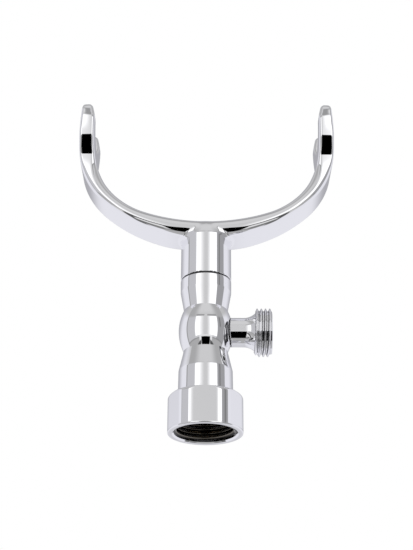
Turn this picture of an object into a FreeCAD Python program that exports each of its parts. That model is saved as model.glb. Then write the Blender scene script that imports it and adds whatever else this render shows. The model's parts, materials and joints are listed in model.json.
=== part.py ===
import FreeCAD, Part
import math
import os
from FreeCAD import Vector

# Swivelling hand-shower cradle with hose outlet, for the top outlet of a bath mixer.
# Millimetres. The origin is on the swivel axis, in the plane of the union nut's mouth.
# +Z is up, +X runs along the hose outlet, -Y faces the bather.

# Clearances
running_gap = 0.06        # radial, where one piece turns or slides in another
seat_gap = 0.05           # radial, between pieces of one body that are screwed or pushed together
end_play = 0.3            # axial, under the nut's shoulder and over its top
ring_relief = 0.04        # between a seal ring and the faces that it presses on

# Union nut, three-quarter inch pipe thread, left as a plain bore at the thread's major radius
nut_thread_r = 13.22
nut_crest_r = 12.06
nut_thread_depth = 8.6
nut_relief_depth = 0.4
nut_height = 16.5
nut_r = 15.87
nut_across_flats = 29.6
nut_lip_height = 0.7
nut_lip_round = 0.4
nut_crown_round = 1.9
nut_shoulder = 3.5
nut_mouth_chamfer = 0.5
nut_turned_by = -1.8

# Union washer and tail bush
washer_thickness = 2.0
washer_bore_r = 8.0
flange_thickness = 2.0
tail_stem_r = 9.0
tail_thread_r = 8.0
tail_thread_length = 6.2
tail_spigot_r = 7.0
tail_spigot_length = 4.0
tail_bore_r = 4.5
tail_key_across_flats = 10.0
tail_key_depth = 8.0
tail_groove_width = 1.8
tail_groove_depth = 1.3

# Swivel body: bell, flare, barrel and column, one above the other
bell_foot_r = 11.68
bell_top_r = 11.53
bell_height = 10.7
bell_cone_height = 8.9
lower_waist_r = 9.45
barrel_r = 11.68
barrel_below_outlet = 9.2
barrel_above_outlet = 9.7
upper_waist_r = 9.5
column_cone_height = 8.6
column_shoulder_r = 11.05
column_height = 5.2
column_r = 11.12
water_bore_r = 5.5
water_bore_above_outlet = 5.0
drill_tip_height = 1.6

# Spigot that carries the cradle
spigot_r = 7.0
spigot_above_ring = 2.0
spigot_chamfer = 0.6
spigot_ring_width = 2.0
spigot_ring_depth = 1.5
lower_ring_height = 9.6
ring_spacing = 7.4
screw_groove_width = 3.0
screw_groove_depth = 1.3

# Flanged swivel bush of plain plastic
bush_flange_r = 10.6
bush_flange_thickness = 0.75
bush_wall = 1.6
bush_length = 6.4

# Grub screw at the back of the neck, M4 with a dog point
grub_r = 2.0
grub_point_r = 1.2
grub_point_length = 1.25
grub_point_gap = 0.2
grub_sunk = 0.3
grub_key_across_flats = 2.0
grub_key_depth = 2.0

# Cradle: a bent plate between two chains of arcs, its fork ends and its neck.
# Each chain has a wide bottom arc, a tighter side arc up to the vertical, and a slow lean inwards.
plate_above_spigot = 0.3
plate_outer_bottom_r = 68.7
plate_outer_bottom_angle = 43.7
plate_outer_side_r = 33.9
plate_outer_lean_r = 180.0
plate_bottom_thickness = 7.6
plate_side_thickness = 6.84
plate_inner_bottom_r = 87.5
plate_inner_bottom_angle = 18.8
plate_inner_lean_r = 1500.0
fork_outer_edge_round = 1.0
fork_inner_edge_round = 1.4
band_outer_edge_share = 0.36     # band's edge rounds as shares of the plate's side thickness
band_inner_edge_share = 0.34
outer_edge_wall_share = 0.5      # and at most these shares of the plate where it is thinnest
inner_edge_wall_share = 0.47
band_half_width = 8.64
fork_outer_r = 17.46
fork_slot_r = 10.5
ear_side_r = 27.0
taper_angle = 30.3
taper_blend_r = 6.0
fork_above_level = 21.62         # tips above the level at which the plate's outside stands upright
ear_side_below_top = 5.36
fork_centre_below_top = 6.46
edges_fade_below_taper = 4.0
neck_r = 11.1
neck_blend_below_plate = 0.2
neck_end_under_inside = 0.8
neck_blend_inset = 0.7
neck_blend_bow = 0.18     # how far each half of the S-shaped blend stands off its chord
neck_bore_roof = 0.6

# Hose outlet, half inch pipe thread, left as a plain cylinder at the thread's major radius
hose_thread_r = 10.4775
hose_end_x = 28.5
hose_end_chamfer = 0.9
hose_thread_run_in = 0.3
hose_thread_length = 6.0
outlet_stem_r = 6.35
outlet_stem_end_x = 17.7
outlet_flare_r = 4.9
outlet_seam = 0.12
outlet_stub_r = 5.1
outlet_stub_start_x = 6.2
outlet_bore_r = 3.4
outlet_groove_x = 8.0
outlet_groove_width = 1.4
outlet_groove_depth = 1.05

# Check valve cartridge in the outlet
valve_recess = 1.0
valve_head_r = 7.2
valve_head_length = 5.2
valve_barrel_r = 5.0
valve_barrel_length = 8.0
valve_bore_r = 4.25
valve_groove_width = 2.0
valve_groove_depth = 1.4
valve_seat_thickness = 2.0
valve_seat_bore_r = 2.5
valve_hub_r = 2.3
valve_hub_start = 0.4
valve_hub_length = 3.0
valve_rib_count = 3
valve_rib_thickness = 1.0
valve_rib_root = 0.3      # how deep the ribs run into the shell
poppet_r = 3.4
poppet_thickness = 1.2
poppet_stem_r = 1.0
poppet_guided_length = 1.6
poppet_boss_r = 1.2
poppet_lip_r = 1.5
poppet_lip_length = 0.45
poppet_seal_thickness = 0.6
poppet_seat_gap = 0.1
spring_wire_r = 0.25
spring_mean_r = 1.9
spring_turns = 5

# Heights and places that follow from the sizes above
bell_foot_z = nut_height + end_play
bell_top_z = bell_foot_z + bell_height
lower_waist_z = bell_top_z + bell_cone_height
outlet_z = lower_waist_z + barrel_below_outlet
upper_waist_z = outlet_z + barrel_above_outlet
column_shoulder_z = upper_waist_z + column_cone_height
column_top_z = column_shoulder_z + column_height
bush_foot_z = column_top_z + seat_gap
neck_foot_z = bush_foot_z + bush_flange_thickness
lower_ring_z = column_top_z + lower_ring_height
upper_ring_z = lower_ring_z + ring_spacing
spigot_top_z = upper_ring_z + spigot_above_ring
screw_z = (lower_ring_z + upper_ring_z) / 2
flange_top_z = nut_height - nut_shoulder - end_play
flange_foot_z = flange_top_z - flange_thickness
washer_foot_z = flange_foot_z - washer_thickness
flange_r = nut_crest_r - 2 * running_gap
tail_spigot_z = bell_foot_z + tail_thread_length
tail_top_z = tail_spigot_z + tail_spigot_length
neck_bore_r = spigot_r + running_gap
bush_r = neck_bore_r + bush_wall
valve_head_x = hose_end_x - valve_recess - valve_head_length
valve_barrel_x = valve_head_x - valve_barrel_length
valve_seat_x = valve_barrel_x - valve_seat_thickness
poppet_seal_x = valve_barrel_x + poppet_seat_gap
poppet_x = poppet_seal_x + poppet_seal_thickness
valve_hub_x = valve_head_x + valve_hub_start
hose_thread_x = hose_end_x - hose_thread_length
plate_outer_bottom_z = spigot_top_z + plate_above_spigot
plate_inner_bottom_z = plate_outer_bottom_z + plate_bottom_thickness
outer_sine = math.sin(math.radians(plate_outer_bottom_angle))
inner_sine = math.sin(math.radians(plate_inner_bottom_angle))
plate_outer_side_x = (plate_outer_bottom_r - plate_outer_side_r) * outer_sine + plate_outer_side_r
plate_inner_side_x = plate_outer_side_x - plate_side_thickness
plate_inner_side_r = (plate_inner_side_x - plate_inner_bottom_r * inner_sine) / (1 - inner_sine)
outer_chain = (plate_outer_bottom_z, plate_outer_bottom_r, plate_outer_bottom_angle,
               plate_outer_side_r, plate_outer_lean_r)
inner_chain = (plate_inner_bottom_z, plate_inner_bottom_r, plate_inner_bottom_angle,
               plate_inner_side_r, plate_inner_lean_r)
upright_level_z = (plate_outer_bottom_z + plate_outer_bottom_r - (plate_outer_bottom_r - plate_outer_side_r)
                   * math.cos(math.radians(plate_outer_bottom_angle)))
fork_top_z = upright_level_z + fork_above_level
fork_centre_z = fork_top_z - fork_centre_below_top
ear_side_z = fork_top_z - ear_side_below_top
ear_centre_y = fork_outer_r - ear_side_r
taper_sine = math.sin(math.radians(taper_angle))
taper_cosine = math.cos(math.radians(taper_angle))
taper_end_y = ear_centre_y + ear_side_r * taper_cosine
taper_end_z = ear_side_z - ear_side_r * taper_sine
taper_start_z = taper_end_z - (taper_end_y - band_half_width) * taper_cosine / taper_sine
edges_fade_z = taper_start_z - edges_fade_below_taper
neck_blend_z = plate_outer_bottom_z - neck_blend_below_plate
neck_blend_height = plate_inner_bottom_z - neck_end_under_inside - neck_blend_z

UP = Vector(0, 0, 1)
ALONG = Vector(1, 0, 0)
ORIGIN = Vector(0, 0, 0)


def closed_face(start, steps, place):
    """Face inside a chain of lines and arcs; an arc's step is its (through, end) points."""
    edges = []
    here = place(*start)
    for step in list(steps) + [start]:
        is_arc = isinstance(step[0], tuple)
        there = place(*(step[1] if is_arc else step))
        if is_arc:
            edges.append(Part.Arc(here, place(*step[0]), there).toShape())
        elif here.distanceToPoint(there) > 1e-6:
            edges.append(Part.LineSegment(here, there).toShape())
        here = there
    return Part.Face(Part.Wire(edges))


def in_xz(across, height):
    return Vector(across, 0, height)


def in_yz(across, height):
    return Vector(0, across, height)


def turned(start, *steps):
    """Solid turned about the swivel axis from an outline of (radius, height) points."""
    return closed_face(start, steps, in_xz).revolve(ORIGIN, UP, 360)


def bored(start, *steps):
    """Solid turned about the hose outlet's axis from an outline of (x, radius) points."""
    solid = closed_face(start, steps, in_xz).revolve(ORIGIN, ALONG, 360)
    return solid.translated(Vector(0, 0, outlet_z))


def rod(radius, low, high):
    return Part.makeCylinder(radius, high - low, Vector(0, 0, low), UP)


def tube(inner, outer, low, high):
    return turned((inner, low), (outer, low), (outer, high), (inner, high))


def outlet_rod(radius, low, high):
    return Part.makeCylinder(radius, high - low, Vector(low, 0, outlet_z), ALONG)


def outlet_tube(inner, outer, low, high):
    return bored((low, inner), (high, inner), (high, outer), (low, outer))


def hexagon(across_flats, low, high, axis=UP, centre=ORIGIN):
    """Hexagonal prism along an axis, with a flat facing -Y when the axis is upright."""
    corner = across_flats / math.sqrt(3)
    angles = [math.radians(60 * i) for i in range(7)]
    points = [Vector(corner * math.cos(angle), corner * math.sin(angle), low) for angle in angles]
    prism = Part.Face(Part.makePolygon(points)).extrude(Vector(0, 0, high - low))
    prism.Placement = FreeCAD.Placement(centre, FreeCAD.Rotation(UP, axis))
    return prism


def seal_ring(groove_floor_r, bore_r, position, make_along_outlet=False):
    """Round-section ring lying in a groove, just shy of the groove's floor and of the bore."""
    section_r = (bore_r - groove_floor_r) / 2 - ring_relief
    ring_r = (bore_r + groove_floor_r) / 2
    centre = Vector(position, 0, outlet_z) if make_along_outlet else Vector(0, 0, position)
    return Part.makeTorus(ring_r, section_r, centre, ALONG if make_along_outlet else UP)


def union_nut():
    crown_middle = nut_crown_round * (1 - math.sqrt(0.5))
    lip_middle = nut_lip_round * (1 - math.sqrt(0.5))
    blank = turned(
        (tail_stem_r + running_gap, nut_height - nut_shoulder),
        (tail_stem_r + running_gap, nut_height),
        (nut_r - nut_crown_round, nut_height),
        ((nut_r - crown_middle, nut_height - crown_middle), (nut_r, nut_height - nut_crown_round)),
        (nut_r, nut_lip_round),
        ((nut_r - lip_middle, lip_middle), (nut_r - nut_lip_round, 0)),
        (nut_thread_r + nut_mouth_chamfer, 0),
        (nut_thread_r, nut_mouth_chamfer),
        (nut_thread_r, nut_thread_depth),
        (nut_thread_r + nut_relief_depth, nut_thread_depth + nut_relief_depth),
        (nut_thread_r + nut_relief_depth, nut_height - nut_shoulder))
    flats = hexagon(nut_across_flats, nut_lip_height, nut_height).rotate(ORIGIN, UP, nut_turned_by)
    return blank.common(flats.fuse(rod(nut_r, 0, nut_lip_height)))


def tail_bush():
    groove_floor_r = tail_spigot_r - tail_groove_depth
    groove_low = (tail_spigot_z + tail_top_z - tail_groove_width) / 2
    groove_high = groove_low + tail_groove_width
    bush = turned(
        (tail_bore_r, flange_foot_z), (flange_r, flange_foot_z), (flange_r, flange_top_z),
        (tail_stem_r, flange_top_z), (tail_stem_r, bell_foot_z), (tail_thread_r, bell_foot_z),
        (tail_thread_r, tail_spigot_z), (tail_spigot_r, tail_spigot_z), (tail_spigot_r, groove_low),
        (groove_floor_r, groove_low), (groove_floor_r, groove_high), (tail_spigot_r, groove_high),
        (tail_spigot_r, tail_top_z), (tail_bore_r, tail_top_z))
    return bush.cut(hexagon(tail_key_across_flats, flange_foot_z, flange_foot_z + tail_key_depth))


def tail_o_ring():
    return seal_ring(tail_spigot_r - tail_groove_depth, tail_spigot_r + seat_gap,
                     (tail_spigot_z + tail_top_z) / 2)


def union_washer():
    return tube(washer_bore_r, flange_r, washer_foot_z, flange_foot_z)


def barrel_outline(grow=0.0):
    """Turned outside of the swivel body, with its two sharp waists; grow offsets it outwards."""
    return turned(
        (0, bell_foot_z), (bell_foot_r + grow, bell_foot_z), (bell_top_r + grow, bell_top_z),
        (lower_waist_r + grow, lower_waist_z),
        ((barrel_r + grow, outlet_z), (upper_waist_r + grow, upper_waist_z)),
        (column_shoulder_r + grow, column_shoulder_z), (column_r + grow, column_top_z),
        (0, column_top_z))


def swivel_body():
    outside = barrel_outline()
    ring_middles = [lower_ring_z, upper_ring_z]
    spigot = turned(
        (0, column_top_z - 1), (spigot_r, column_top_z - 1), (spigot_r, spigot_top_z - spigot_chamfer),
        (spigot_r - spigot_chamfer, spigot_top_z), (0, spigot_top_z))
    for middle in ring_middles:
        spigot = spigot.cut(tube(spigot_r - spigot_ring_depth, spigot_r + 1,
                                 middle - spigot_ring_width / 2, middle + spigot_ring_width / 2))
    spigot = spigot.cut(tube(spigot_r - screw_groove_depth, spigot_r + 1,
                             screw_z - screw_groove_width / 2, screw_z + screw_groove_width / 2))
    bore_top = outlet_z + water_bore_above_outlet
    water_way = turned(
        (0, bell_foot_z), (tail_thread_r + seat_gap, bell_foot_z),
        (tail_thread_r + seat_gap, tail_spigot_z + end_play),
        (tail_spigot_r + seat_gap, tail_spigot_z + end_play),
        (tail_spigot_r + seat_gap, tail_top_z + end_play), (water_bore_r, tail_top_z + end_play),
        (water_bore_r, bore_top), (0, bore_top + drill_tip_height))
    side_port = outlet_rod(outlet_stub_r + seat_gap, 0, barrel_r + 1)
    return outside.fuse(spigot).cut(water_way.fuse(side_port)).removeSplitter()


def spigot_o_ring(height):
    return seal_ring(spigot_r - spigot_ring_depth, neck_bore_r, height)


def swivel_bush():
    return turned(
        (neck_bore_r, bush_foot_z), (bush_flange_r, bush_foot_z), (bush_flange_r, neck_foot_z),
        (bush_r - seat_gap, neck_foot_z), (bush_r - seat_gap, bush_foot_z + bush_length),
        (neck_bore_r, bush_foot_z + bush_length))


def cradle_grub_screw():
    """Screw along +Y whose dog point rides in the spigot's groove."""
    point_end = spigot_r - screw_groove_depth + grub_point_gap
    body_start = point_end + grub_point_length
    head = neck_r - grub_sunk
    at_height = Vector(0, 0, screw_z)
    back = Vector(0, 1, 0)
    screw = Part.makeCylinder(grub_r, head - body_start, at_height + back * body_start, back)
    point = Part.makeCylinder(grub_point_r, body_start - point_end, at_height + back * point_end, back)
    key_floor = at_height + back * (head - grub_key_depth)
    key = hexagon(grub_key_across_flats, 0, grub_key_depth + 1, back, key_floor)
    return screw.fuse(point).cut(key)


def side_centre(bottom_z, bottom_r, bottom_angle, side_r):
    """Centre of the side arc that follows on from a bottom arc, as x and z."""
    turn = math.radians(bottom_angle)
    return (bottom_r - side_r) * math.sin(turn), bottom_z + bottom_r - (bottom_r - side_r) * math.cos(turn)


def arc_chain(bottom_z, bottom_r, bottom_angle, side_r, lean_r):
    """Edges of the right half of one face of the bent plate, seen from the front, and its two ends."""
    turn = math.radians(bottom_angle)
    upright = math.pi / 2
    side_x, side_z = side_centre(bottom_z, bottom_r, bottom_angle, side_r)
    lean_x = side_x + side_r - lean_r
    reach = fork_top_z - side_z + 1

    def on_bottom(angle):
        return Vector(bottom_r * math.sin(angle), 0, bottom_z + bottom_r * (1 - math.cos(angle)))

    def on_side(angle):
        return Vector(side_x + side_r * math.sin(angle), 0, side_z - side_r * math.cos(angle))

    def on_lean(height):
        return Vector(lean_x + math.sqrt(lean_r ** 2 - height ** 2), 0, side_z + height)

    points = [[on_bottom(angle) for angle in (0, turn / 2, turn)],
              [on_side(angle) for angle in (turn, (turn + upright) / 2, upright)],
              [on_lean(height) for height in (0, reach / 2, reach)]]
    return [Part.Arc(*three).toShape() for three in points], points[0][0], points[-1][-1]


def set_in(chain, distance):
    """The chain moved evenly towards the inside of the U."""
    bottom_z, bottom_r, bottom_angle, side_r, lean_r = chain
    return bottom_z + distance, bottom_r - distance, bottom_angle, side_r - distance, lean_r - distance


def half_plate(low_chain, high_chain):
    """Right half of a U between two chains seen from the front, as wide all along as the fork."""
    low, low_bottom, low_tip = arc_chain(*low_chain)
    high, high_bottom, high_tip = arc_chain(*high_chain)
    ends = [Part.LineSegment(low_tip, high_tip).toShape(),
            Part.LineSegment(low_bottom, high_bottom).toShape()]
    outline = Part.Wire(Part.__sortEdges__(low + high + ends))
    face = Part.Face(outline).translated(Vector(0, -fork_outer_r, 0))
    return face.extrude(Vector(0, 2 * fork_outer_r, 0))


def fork_outline():
    """Side view of the plate: the band, its taper to the fork, and the fork's slot, seen along X."""
    half_angle = math.radians(taper_angle / 2)
    halfway = (ear_centre_y + ear_side_r * math.cos(half_angle),
               ear_side_z - ear_side_r * math.sin(half_angle))
    blend_run = taper_blend_r * math.tan(half_angle)
    blend_start_z = taper_start_z - blend_run
    blend_middle = (band_half_width + taper_blend_r * (1 - math.cos(half_angle)),
                    blend_start_z + taper_blend_r * math.sin(half_angle))
    blend_end = (band_half_width + blend_run * taper_sine, taper_start_z + blend_run * taper_cosine)
    tip_r = (fork_outer_r - fork_slot_r) / 2
    tip_z = fork_top_z - tip_r
    foot_z = plate_outer_bottom_z - 1
    tip_y = fork_outer_r - tip_r
    return closed_face(
        (-band_half_width, foot_z),
        [(band_half_width, foot_z), (band_half_width, blend_start_z), (blend_middle, blend_end),
         (taper_end_y, taper_end_z),
         (halfway, (fork_outer_r, ear_side_z)), (fork_outer_r, tip_z),
         ((tip_y, fork_top_z), (fork_slot_r, tip_z)), (fork_slot_r, fork_centre_z),
         ((0, fork_centre_z - fork_slot_r), (-fork_slot_r, fork_centre_z)), (-fork_slot_r, tip_z),
         ((-tip_y, fork_top_z), (-fork_outer_r, tip_z)), (-fork_outer_r, ear_side_z),
         ((-halfway[0], halfway[1]), (-taper_end_y, taper_end_z)), (-blend_end[0], blend_end[1]),
         ((-blend_middle[0], blend_middle[1]), (-band_half_width, blend_start_z))],
        in_yz)


def neck():
    """Round stem under the saddle, drawn in above until it runs out inside the band's rounded faces."""
    start_z = neck_blend_z
    end_z = start_z + neck_blend_height
    end_r = band_half_width - neck_blend_inset
    middle = ((neck_r + end_r) / 2, (start_z + end_z) / 2)
    run = neck_blend_height / 4
    bow = neck_blend_bow
    return turned(
        (0, neck_foot_z), (neck_r, neck_foot_z), (neck_r, start_z),
        (((neck_r + middle[0]) / 2 + bow, start_z + run), middle),
        (((end_r + middle[0]) / 2 - bow, end_z - run), (end_r, end_z)),
        (0, end_z))


def edges_along(plate, radii):
    """The long edges, from the middle outwards, of the faces whose arcs about Y have these radii."""
    edges = []
    for face in plate.Faces:
        surface = face.Surface
        if isinstance(surface, Part.Cylinder) and abs(surface.Axis.y) > 0.9:
            if any(abs(surface.Radius - radius) < 1e-3 for radius in radii):
                edges += [edge for edge in face.Edges if edge.BoundBox.XLength + edge.BoundBox.ZLength > 0.1]
    return sorted(edges, key=lambda edge: edge.BoundBox.XMin)


def half_layer(low_chain, high_chain, rounded_chain, band_round, fork_round):
    """Right half of one layer of the plate, its edges along one chain rounded fully on the band and less
    on the fork. The cut between the two is square to that chain, so both rounds meet it exactly."""
    layer = half_plate(low_chain, high_chain)
    bottom_z, bottom_r, bottom_angle, side_r, lean_r = rounded_chain
    radii = [bottom_r, side_r, lean_r]
    reach = layer.BoundBox.XMax + 1
    fork = layer.common(fork_outline().extrude(Vector(reach, 0, 0)))
    fork = fork.makeFillet(fork_round, edges_along(fork, radii))
    centre_x, centre_z = side_centre(bottom_z, bottom_r, bottom_angle, side_r)
    centre = Vector(centre_x, 0, centre_z)
    block = 2 * fork_top_z
    above = Part.makeBox(block, 2 * reach, block, centre + Vector(-block / 2, -reach, 0))
    below = Part.makeBox(block, 2 * band_half_width, block,
                         centre + Vector(-block / 2, -band_half_width, -block))
    fade_angle = math.degrees(math.asin((centre_z - edges_fade_z) / side_r))
    for box in (above, below):
        box.rotate(centre, Vector(0, 1, 0), fade_angle)
    band = layer.common(below)
    band = band.makeFillet(band_round, fork_round, edges_along(band, radii))
    return band.fuse(fork.common(above))


def half_saddle():
    """Right half of the plate, rounded outside and inside. The two layers meet between the rounds."""
    low = Part.Wire(arc_chain(*outer_chain)[0][:2])
    high = Part.Wire(arc_chain(*inner_chain)[0][:2])
    wall = low.distToShape(high)[0]
    outer_round = min(band_outer_edge_share * plate_side_thickness, outer_edge_wall_share * wall)
    inner_round = min(band_inner_edge_share * plate_side_thickness, inner_edge_wall_share * wall)
    middle_chain = set_in(outer_chain, (wall + outer_round - inner_round) / 2)
    outside = half_layer(outer_chain, middle_chain, outer_chain, outer_round, fork_outer_edge_round)
    inside = half_layer(middle_chain, inner_chain, inner_chain, inner_round, fork_inner_edge_round)
    return outside.fuse(inside)


def cradle():
    right = half_saddle()
    left = right.mirror(Vector(0, 0, 0), Vector(1, 0, 0))
    body = right.fuse([left, neck()])
    bore = turned(
        (0, neck_foot_z), (bush_r, neck_foot_z), (bush_r, bush_foot_z + bush_length),
        (neck_bore_r, bush_foot_z + bush_length), (neck_bore_r, spigot_top_z + neck_bore_roof),
        (0, spigot_top_z + neck_bore_roof))
    screw_hole = Part.makeCylinder(grub_r + seat_gap, neck_r, Vector(0, 0, screw_z), Vector(0, 1, 0))
    return body.cut(bore.fuse(screw_hole)).removeSplitter()


def hose_outlet():
    flare_length = hose_thread_x - outlet_stem_end_x

    def on_flare(run):
        rise = outlet_flare_r - math.sqrt(outlet_flare_r ** 2 - run ** 2)
        return (outlet_stem_end_x + run, outlet_stem_r + rise)

    outside = bored(
        (lower_waist_r / 2, 0), (lower_waist_r / 2, outlet_stem_r), (outlet_stem_end_x, outlet_stem_r),
        (on_flare(flare_length * 0.7), on_flare(flare_length)),
        (hose_thread_x + hose_thread_run_in, hose_thread_r),
        (hose_end_x - hose_end_chamfer, hose_thread_r), (hose_end_x, hose_thread_r - hose_end_chamfer),
        (hose_end_x, 0))
    groove_floor_r = outlet_stub_r - outlet_groove_depth
    stub = outlet_rod(outlet_stub_r, outlet_stub_start_x, barrel_r + outlet_seam)
    stub = stub.cut(outlet_tube(groove_floor_r, outlet_stub_r + 1, outlet_groove_x,
                                outlet_groove_x + outlet_groove_width))
    water_way = bored(
        (outlet_stub_start_x - 1, 0), (outlet_stub_start_x - 1, outlet_bore_r),
        (valve_seat_x, outlet_bore_r),
        (valve_seat_x, valve_barrel_r + seat_gap), (valve_head_x, valve_barrel_r + seat_gap),
        (valve_head_x, valve_head_r + seat_gap),
        (hose_end_x + 1, valve_head_r + seat_gap), (hose_end_x + 1, 0))
    return outside.cut(barrel_outline(outlet_seam)).fuse(stub).cut(water_way).removeSplitter()


def outlet_o_ring():
    return seal_ring(outlet_stub_r - outlet_groove_depth, outlet_stub_r + seat_gap,
                     outlet_groove_x + outlet_groove_width / 2, True)


def check_valve_cage():
    head_end_x = valve_head_x + valve_head_length
    groove_low = (valve_head_x + head_end_x - valve_groove_width) / 2
    groove_floor_r = valve_head_r - valve_groove_depth
    shell = bored(
        (valve_barrel_x, valve_bore_r), (head_end_x, valve_bore_r), (head_end_x, valve_head_r),
        (groove_low + valve_groove_width, valve_head_r), (groove_low + valve_groove_width, groove_floor_r),
        (groove_low, groove_floor_r), (groove_low, valve_head_r), (valve_head_x, valve_head_r),
        (valve_head_x, valve_barrel_r), (valve_barrel_x, valve_barrel_r))
    hub_end_x = valve_hub_x + valve_hub_length
    cage = shell.fuse(outlet_rod(valve_hub_r, valve_hub_x, hub_end_x))
    for i in range(valve_rib_count):
        rib = Part.makeBox(valve_hub_length, valve_rib_thickness, valve_bore_r + valve_rib_root,
                           Vector(valve_hub_x, -valve_rib_thickness / 2, outlet_z))
        cage = cage.fuse(rib.rotate(Vector(0, 0, outlet_z), ALONG, i * 360 / valve_rib_count))
    guide = outlet_rod(poppet_stem_r + running_gap, valve_hub_x - 1, hub_end_x + 1)
    return cage.cut(guide).removeSplitter()


def check_valve_o_ring():
    return seal_ring(valve_head_r - valve_groove_depth, valve_head_r + seat_gap,
                     valve_head_x + valve_head_length / 2, True)


def check_valve_seat():
    return outlet_tube(valve_seat_bore_r, valve_barrel_r, valve_seat_x, valve_barrel_x)


def check_valve_poppet():
    boss_x = poppet_seal_x - poppet_lip_length
    stem_end_x = valve_hub_x + poppet_guided_length
    return bored(
        (boss_x, 0), (boss_x, poppet_lip_r), (poppet_seal_x, poppet_lip_r), (poppet_seal_x, poppet_boss_r),
        (poppet_x, poppet_boss_r), (poppet_x, poppet_r), (poppet_x + poppet_thickness, poppet_r),
        (poppet_x + poppet_thickness, poppet_stem_r), (stem_end_x, poppet_stem_r), (stem_end_x, 0))


def poppet_seal():
    return outlet_tube(poppet_boss_r, poppet_r, poppet_seal_x, poppet_x)


def check_valve_spring():
    """Coil between the poppet's back and the cage's hub, swept along biarcs of half a turn each."""
    start_x = poppet_x + poppet_thickness + spring_wire_r + seat_gap
    end_x = valve_hub_x - spring_wire_r - seat_gap
    halves = spring_turns * 2
    advance = (end_x - start_x) / halves

    def on_helix(half):
        angle = half * math.pi
        return Vector(start_x + advance * half, spring_mean_r * math.cos(angle),
                      outlet_z + spring_mean_r * math.sin(angle))

    def heading(half):
        angle = half * math.pi
        forward = Vector(advance / math.pi, 0, 0)
        around = Vector(0, -spring_mean_r * math.sin(angle), spring_mean_r * math.cos(angle))
        return (forward + around).normalize()

    edges = []
    for i in range(halves):
        edges.extend(biarc(on_helix(i), heading(i), on_helix(i + 1), heading(i + 1)))
    section = Part.Wire(Part.Circle(on_helix(0), heading(0), spring_wire_r).toShape())
    spring = Part.Wire(edges).makePipeShell([section], True, False)
    print("spring: least gap between turns", round(2 * advance - 2 * spring_wire_r, 3), "mm")
    return spring


def biarc(start, start_heading, end, end_heading):
    """Two arcs that share a tangent where they meet and keep the headings at their ends."""
    chord = end - start
    both = start_heading + end_heading
    along = chord.dot(both)
    square = 2 * (1 - start_heading.dot(end_heading))
    reach = (-along + math.sqrt(along ** 2 + square * chord.dot(chord))) / square
    first_corner = start + start_heading * reach
    second_corner = end - end_heading * reach
    joint = (first_corner + second_corner) * 0.5
    return [arc_from_heading(start, start_heading, joint),
            arc_from_heading(end, end_heading * -1, joint, True)]


def arc_from_heading(start, start_heading, end, reverse=False):
    """Arc between two points that leaves the first along a heading."""
    chord = end - start
    length = chord.Length
    sideways = chord - start_heading * chord.dot(start_heading)
    sideways.normalize()
    radius = length ** 2 / (2 * chord.dot(sideways))
    centre = start + sideways * radius
    middle_direction = (start + chord * 0.5) - centre
    middle = centre + middle_direction.normalize() * radius
    arc = Part.Arc(end, middle, start) if reverse else Part.Arc(start, middle, end)
    return arc.toShape()


parts = {
    "union_nut": union_nut(),
    "union_washer": union_washer(),
    "tail_bush": tail_bush(),
    "tail_o_ring": tail_o_ring(),
    "swivel_body": swivel_body(),
    "hose_outlet": hose_outlet(),
    "outlet_o_ring": outlet_o_ring(),
    "check_valve_cage": check_valve_cage(),
    "check_valve_o_ring": check_valve_o_ring(),
    "check_valve_seat": check_valve_seat(),
    "check_valve_poppet": check_valve_poppet(),
    "poppet_seal": poppet_seal(),
    "check_valve_spring": check_valve_spring(),
    "spigot_o_ring_lower": spigot_o_ring(lower_ring_z),
    "spigot_o_ring_upper": spigot_o_ring(upper_ring_z),
    "swivel_bush": swivel_bush(),
    "cradle": cradle(),
    "cradle_grub_screw": cradle_grub_screw(),
}

os.makedirs("parts", exist_ok=True)
for name, shape in parts.items():
    shape.exportStep(os.path.join("parts", name + ".step"))
    box = shape.BoundBox
    print(name, "solids", len(shape.Solids), "valid", shape.isValid(), "volume", round(shape.Volume, 1),
          "x", round(box.XMin, 2), round(box.XMax, 2), "y", round(box.YMin, 2), round(box.YMax, 2),
          "z", round(box.ZMin, 2), round(box.ZMax, 2))
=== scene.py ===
# %% [markdown]
# # A swivelling hand-shower cradle in polished chrome
# The object screws on top of a bath mixer. A U-shaped plate with forked ends holds the hand shower,
# and turns on a short column with a threaded hose outlet at its side and a loose union nut at its foot.
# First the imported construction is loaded. It stays fixed, and every visible piece is built around it.

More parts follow.
